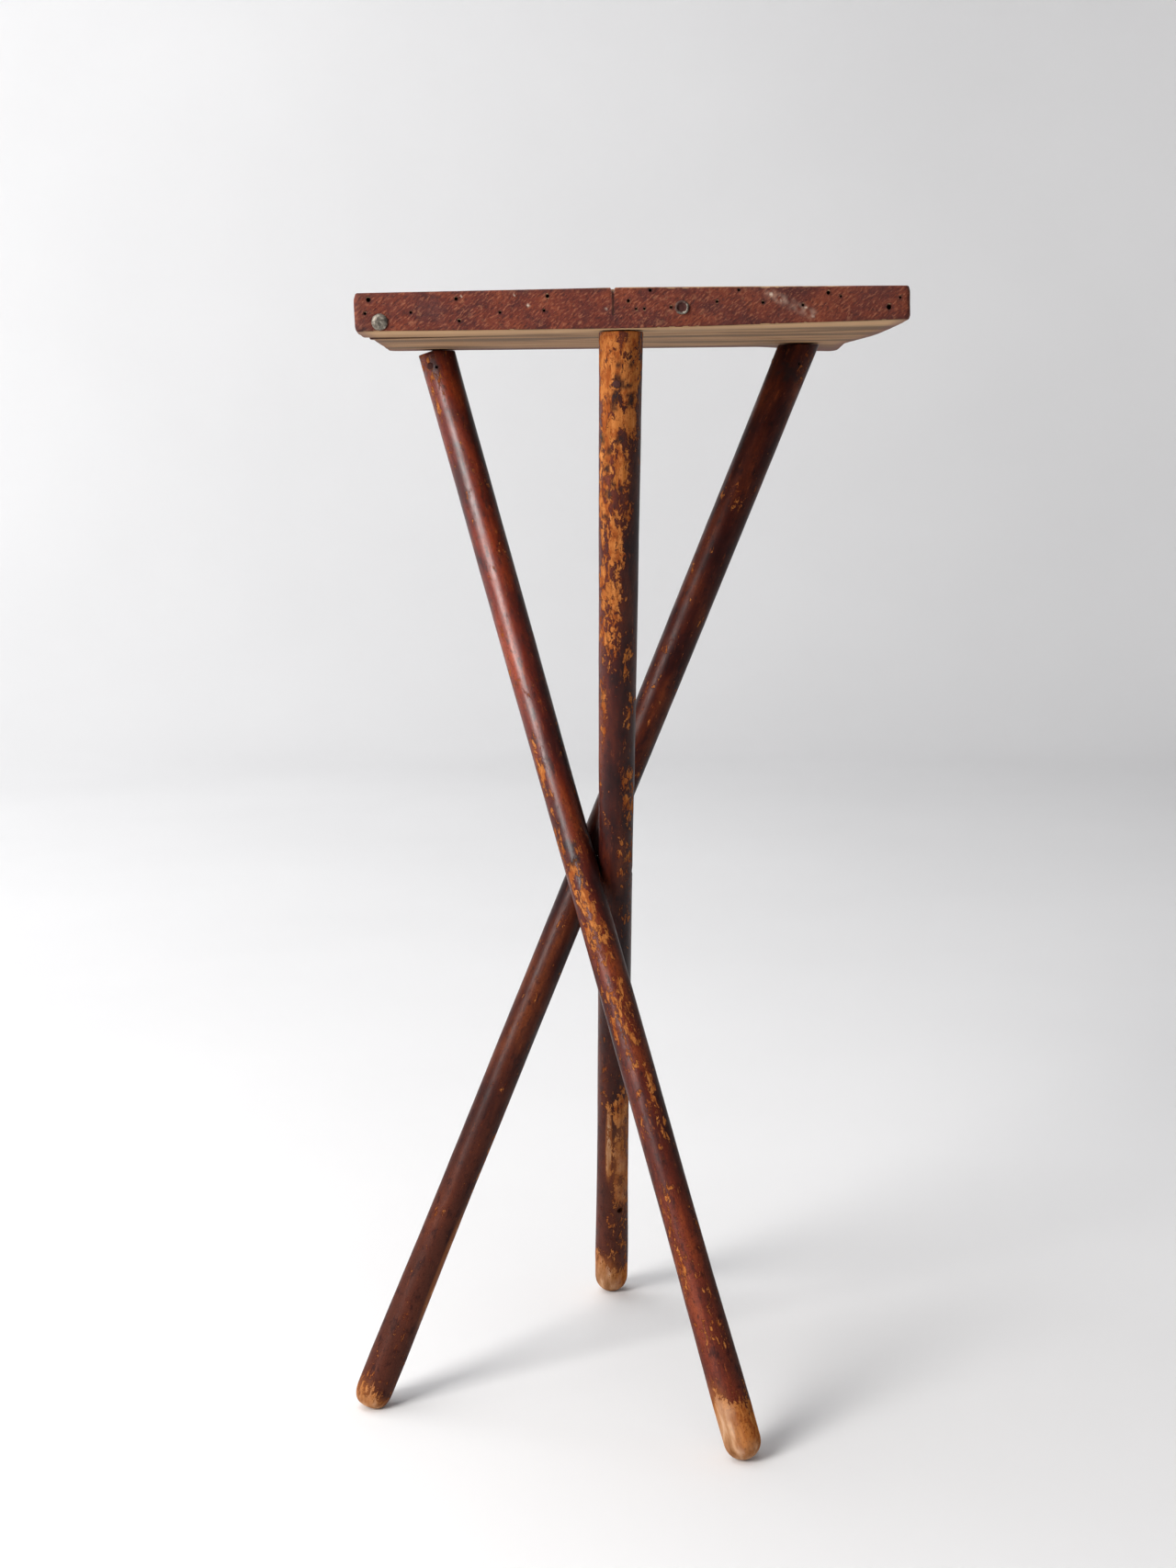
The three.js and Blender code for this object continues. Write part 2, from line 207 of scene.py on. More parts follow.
# Dark, crackled varnish: (share from the top, bearing in degrees, radius in mm).
DARK_MARKS = {
    "left": ((0.48, -112, 6), (0.492, -108, 6), (0.022, -104, 4)),
    "center": (
        (0.02, -96, 2.2), (0.019, -63, 2.2), (0.031, -100, 2.8), (0.036, -92, 3.4),
        (0.042, -104, 3.6), (0.048, -107, 4.0), (0.055, -109, 3.4), (0.037, -82, 3), (0.038, -72, 2.8),
        (0.045, -66, 3.2), (0.051, -64, 3.2), (0.081, -92, 4.2), (0.085, -150, 4.2), (0.093, -123, 3.6),
        (0.107, -127, 3), (0.12, -110, 2.6), (0.124, -90, 2.6), (0.131, -125, 4.2), (0.15, -130, 3),
    ),
    "right": ((0.03, -90, 9),),
}

# How red and glossy the varnish is on each leg: partly the varnish's own tone and partly painted shade, as
# the centre and right legs are kept browner and darker where the left leg and the board shade them. Then the
# bearing that faces the key light, where a painted lit glow makes the varnish reddest, and the share of that
# which is left below the crossing.
LEG_REDNESS_AND_SHADE = {"left": 1.0, "center": 0.34, "right": 0.15}
LIT_GLOW_BEARING = {"left": -112, "center": -150, "right": -110}
REDNESS_BELOW = 0.5

# Nail holes in the legs: (share from the top, bearing in degrees, radius in mm).
LEG_NAIL_HOLES = {
    "left": ((0.022, -104, 1.1),),
    "center": ((0.90, -62, 2.5),),
    "right": ((0.02, -70, 0.9),),
}
NAIL_HOLE_DEPTH = 4 * MM


# --- mesh helpers ---


def new_object(name, data):
    made = bpy.data.objects.new(name, data)
    bpy.context.scene.collection.objects.link(made)
    return made


def mesh_object(name, points, faces):
    mesh = bpy.data.meshes.new(name)
    mesh.from_pydata(list(map(tuple, points)), [], faces)
    mesh.validate()
    return new_object(name, mesh)


def smooth(piece, degrees=40):
    piece.data.polygons.foreach_set("use_smooth", [True] * len(piece.data.polygons))
    piece.data.set_sharp_from_angle(angle=math.radians(degrees))


def lathe(name, profile, sides, matrix):
    """A turned solid about the local Z axis; profile is (radius, height) from the bottom axis point up."""
    points = []
    rings = []
    for radius, height in profile:
        if radius == 0:
            rings.append([len(points)])
            points.append(matrix @ Vector((0, 0, height)))
            continue
        ring = []
        for side in range(sides):
            angle = 2 * math.pi * side / sides
            ring.append(len(points))
            points.append(matrix @ Vector((radius * math.cos(angle), radius * math.sin(angle), height)))
        rings.append(ring)
    faces = []
    for low, high in zip(rings, rings[1:]):
        for side in range(sides):
            after = (side + 1) % sides
            below, above = len(low), len(high)
            corners = [low[side % below], low[after % below], high[after % above], high[side % above]]
            faces.append(list(dict.fromkeys(corners)))
    return mesh_object(name, points, faces)


def frame_at(place, axis):
    """A matrix whose Z axis points along axis, at place."""
    turn = Vector(axis).to_track_quat("Z", "Y").to_matrix().to_4x4()
    return Matrix.Translation(place) @ turn


def cut(piece, cutters):
    """Cuts the given closed solids out of a piece, and removes them."""
    group = bpy.data.collections.new(piece.name + "_cutters")
    for cutter in cutters:
        bpy.context.scene.collection.objects.unlink(cutter)
        group.objects.link(cutter)
    modifier = piece.modifiers.new("cut", "BOOLEAN")
    modifier.operation = "DIFFERENCE"
    modifier.operand_type = "COLLECTION"
    modifier.collection = group
    modifier.solver = "MANIFOLD"
    depsgraph = bpy.context.evaluated_depsgraph_get()
    shaped = bpy.data.meshes.new_from_object(piece.evaluated_get(depsgraph))
    piece.modifiers.clear()
    piece.data = shaped
    for cutter in cutters:
        bpy.data.objects.remove(cutter)
    bpy.data.collections.remove(group)


def cylinder_cutter(place, axis, radius, low, high, sides=20):
    profile = ((0, low), (radius, low), (radius, high), (0, high))
    return lathe("cutter", profile, sides, frame_at(place, axis))


def wobble(point, scale, amount):
    """A smooth value between -amount and amount that changes over the given distance."""
    return amount * noise.noise(Vector(point) / scale)


def float_attributes(piece, **functions):
    """Stores each function's value at every vertex, under the function's keyword."""
    for name, value_at in functions.items():
        attribute = piece.data.attributes.new(name, "FLOAT", "POINT")
        values = [value_at(vertex.co, vertex.normal) for vertex in piece.data.vertices]
        attribute.data.foreach_set("value", values)


def bump_share(distance, reach):
    """1 at distance 0, falling smoothly to 0 at reach."""
    t = max(0.0, 1 - abs(distance) / reach)
    return t * t * (3 - 2 * t)


# --- node helpers ---


class Graph:
    """A material's node graph, with short calls for the nodes that the finishes use."""

    def __init__(self, name):
        self.material = bpy.data.materials.new(name)
        self.material.use_nodes = True
        self.tree = self.material.node_tree
        self.shader = self.tree.nodes["Principled BSDF"]

    def node(self, kind, inputs=(), **settings):
        made = self.tree.nodes.new(kind)
        for key, value in settings.items():
            setattr(made, key, value)
        for key, value in dict(inputs).items():
            self.set(made.inputs[key], value)
        return made

    def set(self, socket, value):
        if isinstance(value, bpy.types.NodeSocket):
            self.tree.links.new(value, socket)
        else:
            socket.default_value = value

    def attribute(self, name, output="Fac"):
        return self.node("ShaderNodeAttribute", attribute_name=name).outputs[output]

    def place(self):
        return self.node("ShaderNodeTexCoord").outputs["Object"]

    def part(self, vector, axis):
        return self.node("ShaderNodeSeparateXYZ", {"Vector": vector}).outputs[axis]

    def mapped(self, vector, scale, rotation=(0, 0, 0)):
        made = self.node("ShaderNodeMapping", {"Vector": vector, "Scale": scale, "Rotation": rotation})
        return made.outputs["Vector"]

    def noise(self, vector, scale, detail=4.0, roughness=0.55, distortion=0.0):
        inputs = {"Vector": vector, "Scale": scale, "Detail": detail, "Roughness": roughness}
        inputs["Distortion"] = distortion
        return self.node("ShaderNodeTexNoise", inputs).outputs["Fac"]

    def cells(self, vector, scale, feature="F1"):
        made = self.node("ShaderNodeTexVoronoi", {"Vector": vector, "Scale": scale}, feature=feature)
        return made.outputs["Distance"]

    def math(self, operation, first, second, clamp=False):
        made = self.node("ShaderNodeMath", operation=operation, use_clamp=clamp)
        self.set(made.inputs[0], first)
        self.set(made.inputs[1], second)
        return made.outputs[0]

    def plus(self, first, second):
        return self.math("ADD", first, second)

    def times(self, first, second):
        return self.math("MULTIPLY", first, second)

    def fade(self, value, low, high, low_value=0.0, high_value=1.0):
        inputs = {"Value": value, "From Min": low, "From Max": high}
        inputs |= {"To Min": low_value, "To Max": high_value}
        made = self.node("ShaderNodeMapRange", inputs, interpolation_type="SMOOTHSTEP")
        return made.outputs["Result"]

    def ramp(self, value, *stops):
        made = self.node("ShaderNodeValToRGB", {"Fac": value})
        elements = made.color_ramp.elements
        while len(elements) < len(stops):
            elements.new(0.5)
        for element, (position, color) in zip(elements, stops):
            element.position = position
            element.color = (*color, 1)
        return made.outputs["Color"]

    def mix(self, share, first, second):
        made = self.node("ShaderNodeMix", data_type="RGBA")
        self.set(made.inputs["Factor"], share)
        for key, value in ((6, first), (7, second)):
            self.set(made.inputs[key], value if isinstance(value, bpy.types.NodeSocket) else (*value, 1))
        return made.outputs[2]

    def tint(self, color, other, value, low, high, most):
        """The colour, with up to most of another one mixed in as a value goes from low to high."""
        return self.mix(self.fade(value, low, high, 0.0, most), color, other)

    def bump(self, height, distance):
        bumped = self.node("ShaderNodeBump", {"Height": height, "Distance": distance})
        self.set(self.shader.inputs["Normal"], bumped.outputs["Normal"])

    def finish(self, color, roughness, metallic=0.0, specular=0.5):
        inputs = {"Base Color": color, "Roughness": roughness, "Metallic": metallic}
        inputs["Specular IOR Level"] = specular
        for key, value in inputs.items():
            self.set(self.shader.inputs[key], value)
        return self.material


# --- finishes ---


def bare_board_color(g, place):
    """Old softwood with its grain along X, pale at the front and dirtier towards the back edge."""
    grain = g.noise(g.mapped(place, (2.2, 45, 60)), 6, 6, 0.65)
    fibres = g.noise(g.mapped(place, (8, 420, 420)), 5, 3, 0.6)
    color = g.ramp(
        grain,
        (0.36, (0.17, 0.085, 0.037)),
        (0.5, (0.34, 0.185, 0.09)),
        (0.64, (0.48, 0.29, 0.148)),
    )
    color = g.tint(color, (0.25, 0.14, 0.07), fibres, 0.35, 0.7, 0.35)
    stain = g.noise(g.mapped(place, (2.4, 11, 11)), 2.4, 5, 0.6)
    color = g.tint(color, (0.12, 0.073, 0.043), stain, 0.45, 0.6, 0.85)
    front = g.plus(g.part(place, "Y"), g.times(stain, 0.05))
    color = g.mix(g.fade(front, -0.135, -0.09, 0.55, 0.0), color, (0.60, 0.38, 0.20))
    return g.mix(g.attribute("grime"), color, (0.16, 0.075, 0.07))


def paint_color(g, streaks, place):
    """Brick-red paint over rough-sawn wood: thin on the ridges, dirty in between."""
    tone = g.noise(g.mapped(place, (0.7, 1, 1)), 60, 5, 0.65)
    color = g.ramp(
        tone,
        (0.34, (0.074, 0.017, 0.015)),
        (0.48, (0.13, 0.026, 0.016)),
        (0.64, (0.19, 0.041, 0.019)),
    )
    color = g.tint(color, (0.37, 0.135, 0.07), streaks, 0.52, 0.66, 0.55)
    color = g.tint(color, (0.05, 0.016, 0.014), streaks, 0.48, 0.36, 0.75)
    rubbed = g.noise(place, 190, 5, 0.7)
    color = g.tint(color, (0.31, 0.125, 0.065), rubbed, 0.57, 0.68, 0.45)
    pits = g.noise(g.mapped(place, (1, 1, 1.4)), 420, 4, 0.7)
    color = g.tint(color, (0.03, 0.011, 0.011), pits, 0.6, 0.68, 0.8)
    grime = g.noise(place, 26, 3, 0.5)
    color = g.tint(color, (0.085, 0.038, 0.036), grime, 0.52, 0.7, 0.35)
    return g.tint(color, (0.05, 0.017, 0.01), g.part(place, "X"), -0.05, 0.12, 0.2)


def painted_board():
    g = Graph("painted_board")
    place = g.place()
    slant = g.mapped(place, (1, 1, 1), (0, math.radians(-50), 0))
    streaks = g.noise(g.mapped(slant, (850, 400, 280)), 1.0, 4, 0.62)
    tooth = g.noise(g.mapped(slant, (1700, 700, 600)), 1.0, 2, 0.5)
    paint = g.attribute("paint")
    ragged = g.plus(paint, g.times(g.math("SUBTRACT", g.noise(place, 160, 4), 0.5), 0.9))
    covered = g.fade(ragged, 0.42, 0.56)
    patches = g.noise(g.mapped(place, (1.2, 2.6, 2.6)), 7, 4, 0.6)
    fibres = g.noise(g.mapped(place, (6, 60, 60)), 6, 5, 0.72)
    frayed = g.plus(g.times(patches, 0.6), g.times(fibres, 0.4))
    worn = g.times(g.attribute("top"), g.fade(frayed, 0.51, 0.56))
    covered = g.math("SUBTRACT", covered, g.times(worn, 0.85), clamp=True)
    color = g.mix(covered, bare_board_color(g, place), paint_color(g, streaks, place))
    color = g.mix(g.attribute("chip"), color, (0.68, 0.56, 0.44))
    color = g.mix(g.attribute("stain"), color, (0.022, 0.011, 0.012))
    roughness = g.fade(covered, 0, 1, 0.78, 0.6)
    grain = g.noise(g.mapped(place, (10, 700, 700)), 2.0, 3, 0.6)
    saw = g.plus(g.times(streaks, 0.75), g.times(tooth, 0.25))
    height = g.plus(g.times(saw, paint), g.times(grain, 0.25))
    g.bump(height, 0.9 * MM)
    return g.finish(color, roughness, specular=0.15)


def varnished_leg():
    """Dark mahogany varnish on turned beech, flaked away in islands where it is worn."""
    g = Graph("varnished_leg")
    place = g.attribute("leg_place", "Vector")
    long_place = g.mapped(place, (1, 1, 0.45))
    wear = g.attribute("wear")
    blotches = g.noise(long_place, 90, 3, 0.5, 0.3)
    flakes = g.noise(long_place, 330, 7, 0.74, 0.6)
    ragged = g.plus(g.times(blotches, 1.6), g.times(flakes, 3.1))
    raw = g.plus(wear, g.math("SUBTRACT", ragged, 2.35))
    bare = g.fade(raw, 0.485, 0.53)
    thin = g.fade(raw, 0.15, 0.5)

    grain = g.noise(g.mapped(place, (420, 420, 14)), 1.0, 5, 0.6)
    wood = g.ramp(
        grain,
        (0.3, (0.29, 0.092, 0.02)),
        (0.5, (0.41, 0.14, 0.035)),
        (0.74, (0.56, 0.225, 0.066)),
    )
    aged = g.noise(g.mapped(place, (160, 160, 85)), 1.0, 6, 0.7)
    wood = g.tint(wood, (0.235, 0.055, 0.013), aged, 0.44, 0.6, 0.9)
    specks = g.noise(g.mapped(place, (1, 1, 0.7)), 520, 5, 0.75)
    wood = g.tint(wood, (0.11, 0.026, 0.011), specks, 0.52, 0.62, 0.65)
    pale = g.attribute("pale")
    dirt = g.noise(g.mapped(place, (1, 1, 0.3)), 150, 4, 0.55)
    pale_wood = g.ramp(
        dirt,
        (0.32, (0.19, 0.078, 0.031)),
        (0.5, (0.37, 0.19, 0.095)),
        (0.68, (0.60, 0.40, 0.26)),
    )
    wood = g.mix(pale, wood, pale_wood)

    depth = g.noise(g.mapped(place, (60, 60, 16)), 1.0, 5, 0.6)
    brown_coat = g.ramp(
        depth,
        (0.34, (0.008, 0.0026, 0.003)),
        (0.47, (0.023, 0.0055, 0.0042)),
        (0.58, (0.052, 0.0125, 0.006)),
        (0.7, (0.10, 0.025, 0.009)),
    )
    red_coat = g.ramp(
        depth,
        (0.34, (0.055, 0.0055, 0.004)),
        (0.47, (0.15, 0.0145, 0.005)),
        (0.58, (0.26, 0.031, 0.006)),
        (0.7, (0.38, 0.064, 0.01)),
    )
    # Painted light: this mask reddens the coat as a lit glow on the side that faces the key light, and keeps
    # the shaded centre and right legs browner.
    redness = g.attribute("redness")
    lower = g.fade(g.part(place, "Z"), -0.08, -0.32)
    # Painted shade: the brown coat lightens towards the foot, so the upper and middle legs stay darker where
    # the board and the crossing legs shade them.
    brown_coat = g.mix(g.times(lower, 0.6), brown_coat, (0.1, 0.032, 0.019))
    coat = g.mix(redness, brown_coat, red_coat)
    dark = g.noise(g.mapped(place, (1, 1, 0.5)), 190, 6, 0.7)
    coat = g.tint(coat, (0.014, 0.0045, 0.0055), dark, 0.52, 0.66, 0.7)
    glints = g.noise(g.mapped(place, (420, 420, 90)), 1.0, 6, 0.75)
    glinting = g.times(g.fade(glints, 0.58, 0.68, 0.0, 0.7), g.fade(redness, 0.0, 0.5, 0.3, 1.0))
    coat = g.mix(glinting, coat, (0.34, 0.08, 0.018))
    crackle = g.cells(g.mapped(place, (1, 1, 0.7)), 520, "DISTANCE_TO_EDGE")
    coat = g.mix(g.fade(crackle, 0.0, 0.09, 0.4, 0.0), coat, (0.015, 0.006, 0.006))
    coat = g.mix(g.times(thin, 0.45), coat, (0.05, 0.0075, 0.0065))
    coat = g.tint(coat, (0.26, 0.08, 0.022), pale, 0.05, 0.5, 0.7)
    color = g.mix(bare, coat, wood)
    color = g.mix(g.attribute("stain"), color, (0.016, 0.009, 0.010))

    scuffs = g.noise(g.mapped(place, (300, 300, 60)), 1.0, 4, 0.6)
    gloss = g.fade(scuffs, 0.35, 0.7, 0.31, 0.44)
    dull = g.plus(g.times(lower, 0.1), g.times(thin, 0.12))
    roughness = g.plus(g.plus(gloss, dull), g.times(bare, 0.2))
    skin = g.times(g.fade(crackle, 0.0, 0.1), 0.1)
    swell = g.times(g.noise(long_place, 700, 4, 0.7), 0.17)
    coat_height = g.plus(g.plus(skin, swell), 0.55)
    coated = g.math("SUBTRACT", 1.0, bare)
    height = g.plus(g.times(coat_height, coated), g.times(grain, 0.15))
    g.bump(height, 0.22 * MM)
    shine = g.fade(redness, 0.1, 1.0, 0.14, 0.62)
    for value, least in ((thin, 0.6), (bare, 0.25), (lower, 0.5)):
        shine = g.times(shine, g.fade(value, 0, 1, 1.0, least))
    return g.finish(color, roughness, specular=shine)


def dowel_wood():
    g = Graph("dowel_wood")
    place = g.place()
    grain = g.noise(g.mapped(place, (500, 12, 500)), 1.0, 5, 0.6)
    color = g.ramp(grain, (0.3, (0.40, 0.25, 0.12)), (0.7, (0.62, 0.43, 0.25)))
    g.bump(grain, 0.2 * MM)
    return g.finish(color, g.fade(grain, 0.3, 0.7, 0.55, 0.75))


def black_iron():
    g = Graph("black_iron")
    place = g.place()
    scale = g.noise(place, 700, 6, 0.6)
    rust = g.noise(place, 330, 5, 0.65)
    color = g.ramp(scale, (0.35, (0.018, 0.016, 0.016)), (0.65, (0.07, 0.06, 0.056)))
    color = g.tint(color, (0.12, 0.045, 0.018), rust, 0.54, 0.66, 0.8)
    g.bump(scale, 0.2 * MM)
    return g.finish(color, g.fade(rust, 0.4, 0.7, 0.42, 0.8), g.fade(rust, 0.54, 0.66, 0.85, 0.2))


def zinc_nail():
    g = Graph("zinc_nail")
    place = g.place()
    crystals = g.cells(place, 1300)
    blotches = g.noise(place, 520, 5, 0.62)
    color = g.ramp(
        blotches,
        (0.36, (0.045, 0.033, 0.026)),
        (0.52, (0.18, 0.15, 0.115)),
        (0.68, (0.42, 0.385, 0.32)),
    )
    color = g.tint(color, (0.2, 0.19, 0.17), crystals, 0.1, 0.7, 0.35)
    rim = g.attribute("stain")
    color = g.mix(rim, color, (0.055, 0.02, 0.017))
    g.bump(g.plus(g.times(blotches, 0.7), g.times(crystals, 0.3)), 0.3 * MM)
    roughness = g.plus(g.fade(blotches, 0.3, 0.7, 0.34, 0.62), g.times(rim, 0.25))
    return g.finish(color, roughness, g.fade(rim, 0, 1, 0.72, 0.0), g.fade(rim, 0, 1, 0.5, 0.12))


MAKERS = (painted_board, varnished_leg, dowel_wood, black_iron, zinc_nail)
FINISHES = {maker.__name__: maker() for maker in MAKERS}


def place_piece(piece, body, slot, *replaced):
    """Gives a piece its finish and its body, and hides the CAD nodes that it stands for."""
    piece.data.materials.clear()
    piece.data.materials.append(FINISHES[slot])
    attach(piece, body)
    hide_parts(*replaced)


# --- planks ---


def lattice(low, high, step):
    """Places from low to high, closer together next to both ends."""
    margins = [0.0, 0.3 * MM, 0.7 * MM, 1.3 * MM, 2.2 * MM, 3.6 * MM]
    inner_low = low + margins[-1]
    inner_high = high - margins[-1]
    count = max(1, round((inner_high - inner_low) / step))
    inner = [inner_low + (inner_high - inner_low) * i / count for i in range(1, count)]
    return [low + m for m in margins] + inner + [high - m for m in reversed(margins)]


def block(low, high, steps):
    """A closed box whose surface is a fine lattice of quads."""
    places = [lattice(low[axis], high[axis], steps[axis]) for axis in range(3)]
    last = [len(values) - 1 for values in places]
    points = []
    index = {}

    def corner(key):
        if key not in index:
            index[key] = len(points)
            points.append([places[axis][key[axis]] for axis in range(3)])
        return index[key]

    faces = []
    for axis in range(3):
        first, second = (axis + 1) % 3, (axis + 2) % 3
        for end in (0, last[axis]):
            for i in range(last[first]):
                for j in range(last[second]):
                    keys = []
                    for a, b in ((i, j), (i + 1, j), (i + 1, j + 1), (i, j + 1)):
                        key = [0, 0, 0]
                        key[axis], key[first], key[second] = end, a, b
                        keys.append(corner(tuple(key)))
                    faces.append(keys if end else keys[::-1])
    return points, faces


def rounded(point, low, high, radius):
    """Pulls a point of the box's surface onto the same box with rounded edges."""
    core = [min(max(point[i], low[i] + radius), high[i] - radius) for i in range(3)]
    out = Vector(point) - Vector(core)
    if out.length < 1e-9:
        return list(point)
    return list(Vector(core) + out.normalized() * min(out.length, radius))


def round_corner(point, corner_x, corner_y, sign_x, sign_y, radius):
    """Turns the square at a plan corner into a quarter disc, leaving the rest of the plank alone."""
    u = sign_x * (point[0] - corner_x) / radius + 1
    v = sign_y * (point[1] - corner_y) / radius + 1
    if u <= 0 or v <= 0:
        return
    point[0] = corner_x + sign_x * (u * math.sqrt(1 - v * v / 2) - 1) * radius
    point[1] = corner_y + sign_y * (v * math.sqrt(1 - u * u / 2) - 1) * radius


board_low = Vector(map(min, zip(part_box("front_plank")[0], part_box("rear_plank")[0])))
board_high = Vector(map(max, zip(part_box("front_plank")[1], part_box("rear_plank")[1])))
board_width = board_high.x - board_low.x


def underside_rise(x, y):
    """How far the underside is planed away: most at the right end of the front edge."""
    along = (x - board_low.x) / board_width
    deep = (y - board_low.y) / RISE_DEPTH
    return RIGHT_UNDERSIDE_RISE * max(0.0, 2 * along - 1) ** 1.15 * max(0.0, 1 - deep) ** 1.3


def top_loss(x, y):
    """How far the top is worn down along the front edge: most towards its ends."""
    along = (x - board_low.x) / board_width
    loss = FRONT_LOSS + LEFT_END_LOSS * max(0.0, 1 - 2 * along) + RIGHT_END_LOSS * max(0.0, 2 * along - 1)
    return loss * (0.5 + 0.5 * bump_share(y - board_low.y, 90 * MM))


def weathered(point, low, high):
    """Bends a rounded box's point into an old plank: tapered, uneven and nicked along its edges."""
    x, y, z = point
    share = (z - low.z) / (high.z - low.z)
    corner = math.hypot(board_high.x - x, board_high.y - y)
    z -= CORNER_DROOP * bump_share(corner, CORNER_DROOP_REACH) * (1 - 0.5 * share)
    z += (1 - share) * underside_rise(x, y) - share * top_loss(x, y)
    if low.y > board_low.y:
        step = bump_share(x - board_low.x, SEAM_STEP_REACH) * bump_share(y - low.y, 40 * MM)
        z -= (1 - share) * SEAM_STEP * step
    z += wobble((x, y, share), 0.06, 0.15 * MM)
    to_front = y - board_low.y
    front = bump_share(to_front, 6 * MM)
    y += front * (wobble((x, z, 3.0), 0.045, 0.5 * MM) + wobble((x, z, 7.0), 0.006, 0.22 * MM))
    edge = front * max(bump_share(share, 0.1), bump_share(1 - share, 0.1))
    y += edge * abs(wobble((x, 0, 11.0), 0.008, 1.0 * MM))
    for end, sign in ((board_low.x, 1), (board_high.x, -1)):
        near = bump_share(x - end, 8 * MM)
        x += sign * near * wobble((y, z, 17.0 + sign), 0.02, 0.5 * MM)
        corner = near * max(bump_share(share, 0.15), bump_share(1 - share, 0.2))
        x += sign * corner * bump_share(to_front, 40 * MM) * 0.8 * MM
    return (x, y, z)


def leg_axes(side):
    """Where a leg's pivot arm meets its axis, and the leg's own X, Y and Z directions."""
    joint = next(j for j in frame["joints"] if j["name"] == side + "_leg_fold")
    outward = -Vector(joint["axis"]).normalized()
    lean = Vector((outward.y, -outward.x, 0))
    up = lean * math.sin(LEG_TILT) + Vector((0, 0, 1)) * math.cos(LEG_TILT)
    return Vector(joint["pos_m"]), outward, up.cross(outward), up


def socket_cutter(side):
    place, _, _, up = leg_axes(side)
    height = board_low.z + PIN_RISE / 2
    pin = place + up * ((height - place.z) / up.z)
    inward = -Vector((up.x, up.y, 0)).normalized()
    centre = pin + inward * SOCKET_SHIFT
    centre.z = board_low.z
    return cylinder_cutter(centre, (0, 0, 1), SOCKET_RADIUS, -CUTTER_PROUD, SOCKET_DEPTH, 32)


def tack_hole(along, height, radius):
    """A slightly conical hole into the front edge."""
    mouth = radius * MM
    deep = TACK_HOLE_DEPTH
    profile = ((0, -CUTTER_PROUD), (mouth, -CUTTER_PROUD), (0.7 * mouth, deep), (0, deep))
    place = Vector((board_low.x + along * MM, board_low.y, board_low.z + height * MM))
    lean = (wobble((along, 0.5, 0.5), 3.0, 0.25), 1, wobble((height, 1.5, 0.5), 3.0, 0.25))
    return lathe("cutter", profile, 10, frame_at(place, lean))


def scribe_cutter():
    """The scribed line: a V-shaped groove down the front edge, open at its top."""
    x = board_low.x + SCRIBE_ALONG
    outline = ((x - SCRIBE_WIDTH, -2 * MM), (x + SCRIBE_WIDTH, -2 * MM), (x, SCRIBE_DEPTH))
    ends = (board_high.z - SCRIBE_LENGTH, board_high.z + 2 * MM)
    points = [(u, board_low.y + v, z) for z in ends for u, v in outline]
    faces = [(2, 1, 0), (3, 4, 5), (0, 1, 4, 3), (1, 2, 5, 4), (2, 0, 3, 5)]
    return mesh_object("cutter", points, faces)


def notch_cutter():
    """A V-shaped notch in the top of the front edge, where the scribed line starts."""
    x = board_low.x + SCRIBE_ALONG
    top = board_high.z + 2 * MM
    low = board_high.z - NOTCH_HEIGHT
    outline = ((x - NOTCH_WIDTH, top), (x, low), (x + NOTCH_WIDTH, top))
    points = [(u, board_low.y + v, z) for v in (-CUTTER_PROUD, NOTCH_DEPTH) for u, z in outline]
    faces = [(0, 1, 2), (5, 4, 3), (0, 3, 4, 1), (1, 4, 5, 2), (2, 5, 3, 0)]
    return mesh_object("cutter", points, faces)


def edge_distance(co):
    return min(co.x - board_low.x, board_high.x - co.x, co.y - board_low.y, board_high.y - co.y)


def board_paint(co, normal):
    """1 where the paint was brushed on, up to a half where it laps under, and 0 on the bare wood."""
    if edge_distance(co) > 8 * MM and co.z < board_high.z - 8 * MM:
        return 0.0
    if normal.z > -0.55:
        return 1.0
    lap = wobble((co.x, co.y, 0.3), 0.03, 6 * MM) + 3 * MM
    rear_lap = min(board_high.x - co.x, board_high.y - co.y)
    lap += 10 * MM * bump_share(math.hypot(board_high.x - co.x, board_high.y - co.y), 60 * MM)
    return 0.5 * bump_share(min(rear_lap, edge_distance(co) + 4 * MM), max(1 * MM, lap))


def front_spots(co, spots, margin):
    """How close a point of the front edge is to the nearest of the spots, from 0 to 1."""
    nearest = 0.0
    for along, height, radius in spots:
        away = math.hypot(co.x - board_low.x - along * MM, co.z - board_low.z - height * MM)
        nearest = max(nearest, bump_share(away, (radius + margin) * MM))
    return nearest


def board_stain(co, normal):
    """Dark rings round the old tack holes, grime along the front edge's arrises, and darkening on forward
    faces behind the front edge, such as the seam's step.
    """
    if normal.y > -0.5:
        return 0.0
    # Faces that look forward from behind the front edge, such as the step in the seam, are darkened.
    if co.y > board_low.y + 20 * MM:
        return 0.8
    end = bump_share(co.x - board_low.x, 26 * MM) * max(0.0, 0.5 + wobble((co.x, co.z, 5.0), 0.009, 0.9))
    to_underside = co.z - board_low.z - underside_rise(co.x, co.y)
    to_top = board_high.z - top_loss(co.x, co.y) - co.z
    arris = bump_share(min(to_underside, to_top), 4.5 * MM)
    arris *= max(0.0, 0.45 + wobble((co.x, co.z, 9.0), 0.02, 1.0))
    line = 0.0
    if co.z > board_high.z - SCRIBE_LENGTH:
        line = bump_share(co.x - board_low.x - SCRIBE_ALONG, 1.3 * MM)
    shade = 0.35 * end + 0.5 * arris + 0.8 * line
    return min(1.0, 0.85 * front_spots(co, TACK_HOLES, 1.2) + shade)


